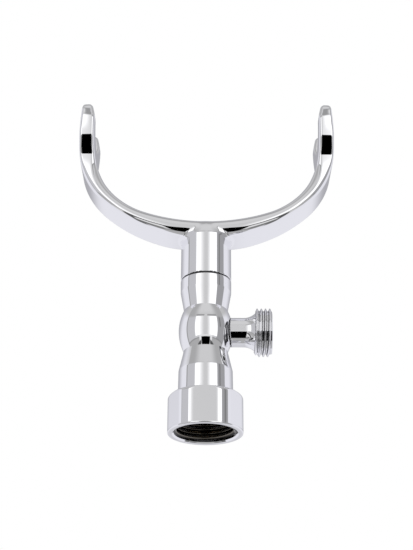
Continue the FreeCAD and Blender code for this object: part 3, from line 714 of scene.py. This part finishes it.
# %% Sizes that the thread tree takes
PITCH = 25.4 / 14
THREAD_DEPTH = 0.6403 * PITCH


def thread_inputs(tree):
    """Adds the tree's named sizes, in metres, and its output. Gives back the sockets to read."""
    tree.interface.new_socket(name="Geometry", in_out="INPUT", socket_type="NodeSocketGeometry")
    sizes = {"Root Radius": 9.3 * MM, "Pitch": PITCH * MM, "Turns": 3.0, "Tooth Depth": THREAD_DEPTH * MM,
             "Outwards": 1.0, "Run Out": 0.1}
    for name, value in sizes.items():
        socket = tree.interface.new_socket(name=name, in_out="INPUT", socket_type="NodeSocketFloat")
        socket.default_value = value
    tree.interface.new_socket(name="Finish", in_out="INPUT", socket_type="NodeSocketMaterial")
    tree.interface.new_socket(name="Geometry", in_out="OUTPUT", socket_type="NodeSocketGeometry")
    return add_node(tree, "NodeGroupInput").outputs


print("thread: pitch", round(PITCH, 3), "mm, depth", round(THREAD_DEPTH, 3), "mm")

# %% [markdown]
# The helix is a spiral curve whose start and end radius are the same. Its curve radius later scales the
# tooth, so it grows from almost nothing to 1 over the run-out at each end.

# %% Helix with run-outs
def tapered_helix(tree, given):
    """Helix about the Z axis on which the tooth rises at the start and sinks at the end."""
    link = tree.links.new
    helix = add_node(tree, "GeometryNodeCurveSpiral")
    helix.inputs["Resolution"].default_value = 128
    link(given["Turns"], helix.inputs["Rotations"])
    link(given["Root Radius"], helix.inputs["Start Radius"])
    link(given["Root Radius"], helix.inputs["End Radius"])
    link(math_node(tree, "MULTIPLY", given["Pitch"], given["Turns"]), helix.inputs["Height"])
    upright = add_node(tree, "GeometryNodeSetCurveNormal", mode="Z_UP")
    link(helix.outputs[0], upright.inputs["Curve"])

    along = add_node(tree, "GeometryNodeSplineParameter").outputs["Factor"]
    from_end = math_node(tree, "SUBTRACT", 1.0, along)
    nearest = math_node(tree, "MINIMUM", along, from_end)
    rise = add_node(tree, "ShaderNodeMapRange", interpolation_type="SMOOTHSTEP")
    link(nearest, rise.inputs["Value"])
    link(given["Run Out"], rise.inputs["From Max"])
    rise.inputs["To Min"].default_value = 0.04
    tapered = add_node(tree, "GeometryNodeSetCurveRadius")
    link(upright.outputs[0], tapered.inputs["Curve"])
    link(rise.outputs[0], tapered.inputs["Radius"])
    return tapered.outputs[0]


print("one turn of the helix climbs", round(PITCH, 3), "mm")

# %% [markdown]
# The tooth is a trapezium with rounded corners. A quarter of its depth stays below the surface that it
# stands on, so no gap shows. Outwards is 1 for a male thread and -1 for a female one, and turns the
# tooth to point away from the axis or towards it.

# %% Tooth's section
BOTTOM_WIDTH, TOP_WIDTH, CORNER_ROUND, TOOTH_HEIGHT, SUNK = 0.93, 0.22, 0.11, 1.25, 0.25


def tooth_section(tree, given):
    """Closed outline of one tooth; widths are shares of the pitch and heights shares of the depth."""
    link = tree.links.new
    tooth = add_node(tree, "GeometryNodeCurvePrimitiveQuadrilateral", mode="TRAPEZOID")
    link(math_node(tree, "MULTIPLY", given["Pitch"], BOTTOM_WIDTH), tooth.inputs["Bottom Width"])
    link(math_node(tree, "MULTIPLY", given["Pitch"], TOP_WIDTH), tooth.inputs["Top Width"])
    tooth.inputs["Offset"].default_value = 0.0
    height = math_node(tree, "MULTIPLY", given["Tooth Depth"], TOOTH_HEIGHT)
    link(height, tooth.inputs["Height"])
    rounded = add_node(tree, "GeometryNodeFilletCurve", mode="POLY")
    rounded.inputs["Count"].default_value = 5
    link(math_node(tree, "MULTIPLY", given["Pitch"], CORNER_ROUND), rounded.inputs["Radius"])
    link(tooth.outputs[0], rounded.inputs["Curve"])
    stand = add_node(tree, "GeometryNodeTransform")
    lift = math_node(tree, "SUBTRACT", math_node(tree, "MULTIPLY", height, 0.5),
                     math_node(tree, "MULTIPLY", given["Tooth Depth"], SUNK))
    offset = add_node(tree, "ShaderNodeCombineXYZ")
    link(lift, offset.inputs["Y"])
    link(rounded.outputs[0], stand.inputs["Geometry"])
    link(offset.outputs[0], stand.inputs["Translation"])
    turn = add_node(tree, "GeometryNodeTransform")
    angle = add_node(tree, "ShaderNodeCombineXYZ")
    link(math_node(tree, "MULTIPLY", given["Outwards"], math.pi / 2), angle.inputs["Z"])
    link(stand.outputs[0], turn.inputs["Geometry"])
    link(angle.outputs[0], turn.inputs["Rotation"])
    return turn.outputs[0]


print("tooth:", round(PITCH * BOTTOM_WIDTH, 2), "mm wide at its foot")

# %% [markdown]
# The tree joins the two: the section is swept along the helix with closed ends, and Realize Instances
# and Set Material make it a plain mesh with its finish.

# %% Thread tree
def thread_tree():
    """Node tree that sweeps a tooth along a helix about the Z axis."""
    tree = bpy.data.node_groups.new("pipe_thread", "GeometryNodeTree")
    given = thread_inputs(tree)
    link = tree.links.new
    sweep = add_node(tree, "GeometryNodeCurveToMesh")
    sweep.inputs["Fill Caps"].default_value = True
    link(tapered_helix(tree, given), sweep.inputs["Curve"])
    link(tooth_section(tree, given), sweep.inputs["Profile Curve"])
    real = add_node(tree, "GeometryNodeRealizeInstances")
    link(sweep.outputs[0], real.inputs[0])
    coat = add_node(tree, "GeometryNodeSetMaterial")
    link(real.outputs[0], coat.inputs["Geometry"])
    link(given["Finish"], coat.inputs["Material"])
    link(coat.outputs[0], add_node(tree, "NodeGroupOutput").inputs[0])
    return tree


threads = thread_tree()
print("thread tree:", len(threads.nodes), "nodes")

# %% [markdown]
# A tree needs an object to run on. This helper lends it one, sets the inputs, copies the result as a
# plain mesh, takes the carrier away again, and keeps edges sharp where faces meet steeply.

# %% Plain mesh from a tree
def made_by_nodes(name, tree, sizes, placement):
    """Plain mesh that a tree makes with the given sizes, moved to its place."""
    carrier = bpy.data.objects.new(name + "_carrier", bpy.data.meshes.new(name + "_carrier"))
    bpy.context.scene.collection.objects.link(carrier)
    modifier = carrier.modifiers.new("nodes", "NODES")
    modifier.node_group = tree
    for item in tree.interface.items_tree:
        if item.in_out == "INPUT" and item.name in sizes:
            modifier[item.identifier] = sizes[item.name]
    graph = bpy.context.evaluated_depsgraph_get()
    mesh = bpy.data.meshes.new_from_object(carrier.evaluated_get(graph))
    bpy.data.objects.remove(carrier)
    mesh.name = name
    mesh.transform(placement)
    shape = bmesh.new()
    shape.from_mesh(mesh)
    bmesh.ops.remove_doubles(shape, verts=shape.verts, dist=1e-7)
    bmesh.ops.recalc_face_normals(shape, faces=shape.faces)
    for face in shape.faces:
        face.smooth = True
    for edge in shape.edges:
        if len(edge.link_faces) == 2 and edge.calc_face_angle() > math.radians(35):
            edge.smooth = False
    shape.to_mesh(mesh)
    shape.free()
    print(name, "vertices", len(mesh.vertices))
    return mesh


print("the tree's inputs:", [item.name for item in threads.interface.items_tree if item.in_out == "INPUT"])

# %% [markdown]
# Both threads are chrome on their crests and painted darker in their roots, as shade. The nut's thread
# lies deep in its mouth, where little light reaches, so its crests are painted dark too.

# %% Finishes of the threads
# Painted shade in the thread roots, and in the nut's mouth on the crests as well.
hose_thread_plate = worn_thread("chrome_on_hose_thread", "X", OUTLET_Z, HOSE_ROOT_R - 0.1, HOSE_ROOT_R + 0.9,
                                (0.13, 0.13, 0.14), 0.25)
nut_thread_plate = worn_thread("chrome_on_nut_thread", "Z", 0, 12.9, 12.05, (0.012, 0.011, 0.01), 0.3,
                               crest_colour=(0.17, 0.155, 0.13))
print("thread finishes:", hose_thread_plate.name, nut_thread_plate.name)

# %% [markdown]
# The male thread starts behind the flare and shows four teeth in outline. The female thread starts just
# inside the nut's mouth. Each thread rides on the body of the piece that it is cut on.

# %% Threads on the outlet and in the nut
HOSE_THREAD_START, NUT_THREAD_START, NUT_ROOT_R = 21.35, 0.95, 13.22
on_outlet = Matrix.Translation((HOSE_THREAD_START * MM, 0, OUTLET_Z * MM))
hose_thread_sizes = {"Root Radius": HOSE_ROOT_R * MM, "Turns": 3.75, "Run Out": 0.13,
                     "Finish": hose_thread_plate}
hose_thread_mesh = made_by_nodes("hose_thread", threads, hose_thread_sizes,
                                 on_outlet @ Matrix.Rotation(math.radians(90), 4, "Y"))
finished("hose_thread", hose_thread_mesh, "body", hose_thread_plate, "chrome")
nut_thread_sizes = {"Root Radius": NUT_ROOT_R * MM, "Turns": 4.0, "Outwards": -1.0, "Run Out": 0.06,
                    "Finish": nut_thread_plate}
nut_thread_mesh = made_by_nodes("union_nut_thread", threads, nut_thread_sizes,
                                Matrix.Translation((0, 0, NUT_THREAD_START * MM)))
finished("union_nut_thread", nut_thread_mesh, "union_nut", nut_thread_plate, "chrome")

# %% [markdown]
# ## Union nut
# A hexagon bar turned down at its corners, so the outside is whichever of two surfaces lies further
# in: the six flats, or the turned outline with its round crown. Blending the two with a soft minimum
# gives the slightly rubbed edges of a polished nut. The round lip below the flats stays turned.

# %% Hexagon with rubbed edges
NUT_H, NUT_R, NUT_FLATS, NUT_TURN = 16.5, 15.87, 29.6, -1.8


def flat_distance(angle):
    """Distance from the axis to the hexagon's flats in one direction."""
    step = math.radians(60)
    from_flat = (angle - math.radians(-90 + NUT_TURN) + step / 2) % step - step / 2
    return NUT_FLATS / 2 / math.cos(from_flat)


def soft_min(a, b, soft):
    """The smaller of two lengths, with a soft change from one to the other."""
    share = max(soft - abs(a - b), 0) / soft
    return min(a, b) - share * share * soft / 4


print("nut:", NUT_FLATS, "mm across flats,", 2 * NUT_R, "mm across its turned corners")

# %% [markdown]
# The outline starts inside at the shoulder that bears on the tail bush, runs over the crown and down
# the flats, which are marked True, to the fine groove above the lip. It ends with the mouth's chamfer,
# the thread's root and the relief behind the thread.

# %% Union nut
LIP_H, LIP_ROUND, CROWN_ROUND, NUT_AROUND, RUBBED = 0.7, 0.4, 1.9, 480, 0.5
SHOULDER_R, SHOULDER_Z, RELIEF_R, THREAD_END, MOUTH_R = 9.06, 13.0, 13.62, 8.6, 13.75
CROWN_MIDDLE, LIP_MIDDLE = 0.5565, 0.117     # how far in the middle of each round lies
nut_crown = arc((NUT_R - CROWN_ROUND, NUT_H), (NUT_R - CROWN_MIDDLE, NUT_H - CROWN_MIDDLE),
                (NUT_R, NUT_H - CROWN_ROUND), 26)
nut_lip = arc((NUT_R, LIP_ROUND), (NUT_R - LIP_MIDDLE, LIP_MIDDLE), (NUT_R - LIP_ROUND, 0), 6)[1:]
flat_heights = (14.2, 13.6, 12.5, 10.5, 8.5, 6.5, 4.5, 2.5, 1.5, 1.1, 0.95, 0.85, 0.78, LIP_H + 0.04)
nut_outline = (
    [(SHOULDER_R, SHOULDER_Z, False), (SHOULDER_R, NUT_H - 0.2, False), (SHOULDER_R + 0.2, NUT_H, False),
     (12.0, NUT_H, False), (13.2, NUT_H, False)]
    + [(radius, height, True) for radius, height in nut_crown]
    + [(NUT_R, height, True) for height in flat_heights]
    + [(NUT_R - 0.03, LIP_H, False), (NUT_R, LIP_H - 0.06, False), (NUT_R, LIP_ROUND, False)]
    + [(radius, height, False) for radius, height in nut_lip]
    + [(14.3, 0, False), (13.9, 0.02, False), (MOUTH_R, 0.1, False), (NUT_ROOT_R, 0.65, False),
       (NUT_ROOT_R, THREAD_END, False), (RELIEF_R, 9.0, False), (RELIEF_R, SHOULDER_Z, False)])
nut_sharp_points = {(SHOULDER_R, SHOULDER_Z), (RELIEF_R, SHOULDER_Z), (RELIEF_R, 9.0),
                    (NUT_ROOT_R, THREAD_END), (NUT_ROOT_R, 0.65), (MOUTH_R, 0.1)}
nut_rows = []
nut_sharp = []
for radius, height, flattened in nut_outline:
    row = []
    for i in range(NUT_AROUND):
        angle = 2 * math.pi * i / NUT_AROUND
        r = soft_min(radius, flat_distance(angle), RUBBED) if flattened else radius
        row.append((r * math.cos(angle), r * math.sin(angle), height))
    nut_rows.append(row)
    if (radius, height) in nut_sharp_points:
        nut_sharp.append(len(nut_rows) - 1)
finished("union_nut_turned", grid_mesh("union_nut_turned", nut_rows, nut_sharp), "union_nut",
         chrome_plate, "chrome", "union_nut")

# %% [markdown]
# ## Cradle
# The hardest form: a bent plate that ends in forks, melting into a round neck. Swept or lofted patches
# would meet in visible seams on chrome. Instead the shape is written as one distance function: how far
# a point is from the plate's faces, from the fork's side view and from the neck, joined by round
# edges and one soft blend. A rough copy of the cradle is remeshed evenly and every vertex is then
# moved onto that exact surface, whose gradient also gives the shading.

# %% Plate seen from the front
def chain_distance(x, z, bottom_z, bottom_r, bottom_angle, side_r, lean_r):
    """Signed distance to a U of tangent arcs seen from the front, negative inside it."""
    x = np.abs(x)
    turn = math.radians(bottom_angle)
    side_x = (bottom_r - side_r) * math.sin(turn)
    side_z = bottom_z + bottom_r - (bottom_r - side_r) * math.cos(turn)
    angle = np.arctan2(x - side_x, side_z - z)
    on_bottom = np.hypot(x, z - bottom_z - bottom_r) - bottom_r
    on_side = np.hypot(x - side_x, z - side_z) - side_r
    on_lean = np.hypot(x - side_x - side_r + lean_r, z - side_z) - lean_r
    low = (angle < turn) & (z < side_z)
    return np.where(z > side_z, on_lean, np.where(low, on_bottom, on_side))


OUTSIDE = {"bottom_z": 88.4, "bottom_r": 68.7, "bottom_angle": 43.7, "side_r": 33.9, "lean_r": 180.0}
INSIDE = {"bottom_z": 97.0, "bottom_r": 87.5, "bottom_angle": 18.8, "side_r": 33.8, "lean_r": 1500.0}
print("plate:", round(INSIDE["bottom_z"] - OUTSIDE["bottom_z"], 2), "mm thick at its middle")

# %% [markdown]
# Three helpers shape distances. A round intersection gives an edge with a radius, a melt fills an inner
# corner softly, and an ease lets a size change smoothly from one height to another.

# %% Edges, blends and easing
def round_max(a, b, soft):
    """Intersection of two distances whose edge is rounded to a radius."""
    return np.minimum(-soft, np.maximum(a, b)) + np.hypot(np.maximum(a + soft, 0), np.maximum(b + soft, 0))


def melt(a, b, reach):
    """Union of two distances whose inner corner is filled softly, within reach of where they meet."""
    share = np.maximum(reach - np.abs(a - b), 0) / reach
    return np.minimum(a, b) - share * share * reach / 4


def ease(value, low, high):
    """0 below low, 1 above high, smooth between."""
    share = np.clip((value - low) / (high - low), 0, 1)
    return share * share * (3 - 2 * share)


print("two faces 1 mm away, melted over 2 mm, come as near as", melt(1.0, 1.0, 2.0), "mm")

# %% [markdown]
# Seen from the side, the plate is a narrow band that widens in a straight taper into the fork. The
# fork's outside is part of a large circle, and its slot is a round-bottomed cut between two round tips.

# %% Fork seen from the side
TOP_Z, SLOT_Z, SLOT_R = 152.6, 147.1, 10.5
FORK_R, EAR_R, EAR_Z = 17.46, 21.0, 146.2
BAND_HALF, TAPER_HALF, TAPER_Z = 9.6, 8.64, 125.2


def fork_distance(y, z):
    """Signed distance to the side view: the band, its taper, and the fork with its slot."""
    y = np.abs(y)
    across = TAPER_HALF - FORK_R + EAR_R
    rise = EAR_Z - TAPER_Z
    tangent = math.atan2(-rise, across) + math.acos(EAR_R / math.hypot(across, rise))
    centre = FORK_R - EAR_R
    line = (y - centre) * math.cos(tangent) + (z - EAR_Z) * math.sin(tangent) - EAR_R
    angle = np.arctan2(z - EAR_Z, y - centre)
    circle = np.hypot(y - centre, z - EAR_Z) - EAR_R
    ear = np.where(z > EAR_Z, y - FORK_R, np.where(angle > tangent, circle, line))
    outside = melt(y - BAND_HALF, ear, 1.5)
    slot = np.where(z > SLOT_Z, SLOT_R - y, SLOT_R - np.hypot(y, z - SLOT_Z))
    tip_r = (FORK_R - SLOT_R) / 2
    tip_z = TOP_Z - tip_r
    tip = np.hypot(y - (FORK_R + SLOT_R) / 2, z - tip_z) - tip_r
    return np.maximum(outside, np.where(z > tip_z, tip, slot))


print("the fork is", 2 * FORK_R, "mm wide and its slot", 2 * SLOT_R, "mm")

# %% [markdown]
# The whole cradle joins these. The plate's lower edge is rounder in front than at the back, and rounder
# near the neck than on the ears. Its edge faces are slightly crowned, as polishing leaves them, and the
# tips get thinner upwards. The neck narrows a little where it melts into the plate. Last come the
# turning bore, the bush's recess and the screw's hole.

# %% Whole cradle
NECK_R, NECK_FOOT, NECK_BORE_R, NECK_BORE_TOP = 11.1, 69.9, 7.06, 88.7
BUSH_R, BUSH_TOP, SCREW_R, SCREW_Z = 8.66, 75.55, 2.05, 82.4


def cradle_distance(p):
    """Signed distance from points to the cradle, negative inside its metal."""
    x, y, z = p[:, 0], p[:, 1], p[:, 2]
    outer = chain_distance(x, z, **OUTSIDE)
    inner = -chain_distance(x, z, **INSIDE) + 1.7 * ease(z, 144.5, 155.0)
    crowning = ease(z, 100.0, 115.0) - 0.9 * ease(z, 122.0, 128.0) + 0.9 * ease(z, 137.5, 143.0)
    crowned = np.maximum(-inner - 2.0, 0) ** 2 / 26 * crowning
    side_view = fork_distance(y, z) + crowned
    squarer = ease(z, 114.0, 131.0)
    near_bottom = 1 - ease(z, 92.0, 102.0)
    near_neck = 1 - ease(np.abs(x), 8.0, 19.0)
    outer_round = 2.3 + 0.8 * near_bottom + 1.4 * near_neck - 1.2 * squarer
    plate = round_max(outer, side_view, outer_round * (1 - 0.35 * ease(y, -3.0, 3.0)))
    neck = np.hypot(x, y) - NECK_R + 1.6 * ease(z, 88.9, 95.3)
    whole = melt(plate, neck, 2.0 - 1.2 * ease(z, 88.0, 94.0))
    whole = round_max(whole, inner, 5.2 - 0.5 * ease(z, 98.0, 106.0) - 3.2 * squarer)
    whole = round_max(whole, NECK_FOOT - z, 0.12)
    bore = np.minimum(np.maximum(np.hypot(x, y) - NECK_BORE_R, z - NECK_BORE_TOP),
                      np.maximum(np.hypot(x, y) - BUSH_R, z - BUSH_TOP))
    screw_hole = np.maximum(np.hypot(x, z - SCREW_Z) - SCREW_R, 3.0 - y)
    return np.maximum(whole, np.maximum(-bore, -screw_hole))


middle = cradle_distance(np.array([[0.0, 0.0, 93.0]]))
print("the plate's middle lies", round(-float(middle[0]), 2), "mm deep in the metal")

# %% [markdown]
# The vertices come from a copy of the construction's cradle, remeshed into even squares. Their exact
# place doesn't matter, because the next step moves them.

# %% Even mesh to start from
cradle_voxel = 0.42
rough = bpy.data.objects.new("cradle_rough", frame["nodes"]["cradle"].data.copy())
bpy.context.scene.collection.objects.link(rough)
shape = bmesh.new()
shape.from_mesh(rough.data)
bmesh.ops.remove_doubles(shape, verts=shape.verts, dist=1e-6)
shape.to_mesh(rough.data)
shape.free()
remesh = rough.modifiers.new("even", "REMESH")
remesh.mode = "VOXEL"
remesh.voxel_size = cradle_voxel * MM
cradle_mesh = bpy.data.meshes.new_from_object(rough.evaluated_get(bpy.context.evaluated_depsgraph_get()))
bpy.data.objects.remove(rough)
points = np.empty(len(cradle_mesh.vertices) * 3)
cradle_mesh.vertices.foreach_get("co", points)
points = points.reshape(-1, 3) / MM
print("cradle starts with", len(points), "vertices")

# %% [markdown]
# Each vertex walks down the slope of the distance function until it lies on the surface. After eight
# steps all of them are within a thousandth of a millimetre. The slope there is also the surface's own
# direction, so it is kept as the shading normal, and the chrome shows no facets.

# %% Cradle
STEPS, LONGEST_STEP = 8, 0.5


def slope(p, step=0.004):
    """Gradient of the distance function, by differences."""
    columns = []
    for axis in range(3):
        shift = np.zeros(3)
        shift[axis] = step
        columns.append((cradle_distance(p + shift) - cradle_distance(p - shift)) / (2 * step))
    return np.stack(columns, 1)


for _ in range(STEPS):
    gradient = slope(points)
    length2 = np.maximum((gradient * gradient).sum(1), 0.05)
    step = np.clip(cradle_distance(points) / length2, -LONGEST_STEP, LONGEST_STEP)
    points -= gradient * step[:, None]
off = np.abs(cradle_distance(points))
print("cradle vertices", len(points), "off the surface by at most", round(float(off.max()), 3), "mm, mean",
      round(float(off.mean()), 5))
cradle_mesh.vertices.foreach_set("co", (points * MM).ravel())
cradle_mesh.update()
cradle_mesh.polygons.foreach_set("use_smooth", [True] * len(cradle_mesh.polygons))
normals = slope(points)
normals /= np.linalg.norm(normals, axis=1)[:, None]
cradle_mesh.normals_split_custom_set_from_vertices(normals.tolist())
finished("cradle_cast", cradle_mesh, "cradle", chrome_plate, "chrome", "cradle")

# %% [markdown]
# ## Seals, bushes and the check valve
# These pieces are the construction's own, smoothed for shading. Their edges stay sharp where two faces
# meet at more than 30 degrees. Most of them are hidden and show only at the outlet's and nut's mouths.

# %% Smoothed copies
SHARP_ANGLE = math.radians(30)


def smoothed_copy(node, body, material, slot):
    """Copy of one of the construction's nodes with smooth faces and its steep edges kept sharp."""
    mesh = frame["nodes"][node].data.copy()
    mesh.name = node + "_smooth"
    shape = bmesh.new()
    shape.from_mesh(mesh)
    bmesh.ops.remove_doubles(shape, verts=shape.verts, dist=1e-6)
    for face in shape.faces:
        face.smooth = True
    for edge in shape.edges:
        edge.smooth = len(edge.link_faces) == 2 and edge.calc_face_angle(0) < SHARP_ANGLE
    shape.to_mesh(mesh)
    shape.free()
    return finished(node + "_smooth", mesh, body, material, slot, node)


small_pieces = [
    ("union_washer", "body", seal_rubber, "rubber"),
    ("tail_bush", "body", turned_brass, "brass"),
    ("tail_o_ring", "body", seal_rubber, "rubber"),
    ("outlet_o_ring", "body", seal_rubber, "rubber"),
    ("spigot_o_ring_lower", "body", seal_rubber, "rubber"),
    ("spigot_o_ring_upper", "body", seal_rubber, "rubber"),
    ("check_valve_cage", "body", valve_plastic, "cage_plastic"),
    ("check_valve_o_ring", "body", seal_rubber, "rubber"),
    ("check_valve_seat", "body", valve_plastic, "cage_plastic"),
    ("check_valve_poppet", "check_poppet", valve_plastic, "cage_plastic"),
    ("poppet_seal", "check_poppet", seal_rubber, "rubber"),
    ("swivel_bush", "cradle", black_acetal, "acetal"),
    ("cradle_grub_screw", "cradle", spring_wire, "stainless"),
]
for small_piece in small_pieces:
    smoothed_copy(*small_piece)
print("small pieces:", len(small_pieces))

# %% [markdown]
# The valve's spring rests against the cage's hub, 22.7 mm out. In the real valve it gets shorter as the
# poppet lifts and keeps 0.61 of its length at full lift; here it is a smoothed copy with a mesh of its own.

# %% Check valve's spring
spring = smoothed_copy("check_valve_spring", "body", spring_wire, "stainless")
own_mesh(spring)

# %% [markdown]
# ## Floor
# A plain pale floor lies well below the camera, out of the photo's view, and shows in other views. The
# chrome doesn't see it, because the studio's picture already has a floor.

# %% Floor
FLOOR_Z, FLOOR_HALF = -0.25, 4
floor_corners = [(-FLOOR_HALF, -FLOOR_HALF, FLOOR_Z), (FLOOR_HALF, -FLOOR_HALF, FLOOR_Z),
                 (FLOOR_HALF, FLOOR_HALF, FLOOR_Z), (-FLOOR_HALF, FLOOR_HALF, FLOOR_Z)]
floor_mesh = bpy.data.meshes.new("floor")
floor_mesh.from_pydata(floor_corners, [], [(0, 1, 2, 3)])
floor = bpy.data.objects.new("floor", floor_mesh)
bpy.context.scene.collection.objects.link(floor)
pale_floor = finish("pale_floor", (0.86, 0.86, 0.86), 0.0, 0.7, grain=1e-4, grain_size=0.02)
floor_mesh.materials.append(pale_floor)
floor.visible_glossy = False
floor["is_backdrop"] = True
print("floor:", 2 * FLOOR_HALF, "m wide,", -FLOOR_Z, "m below the nut's mouth")

# %% [markdown]
# ## Sizes
# No visible piece may stand out of the construction's box, or the model would be larger than its stated
# size.

# %% Size of the visible pieces
visual_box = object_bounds()
print("visual box", [[round(v, 4) for v in c] for c in visual_box])
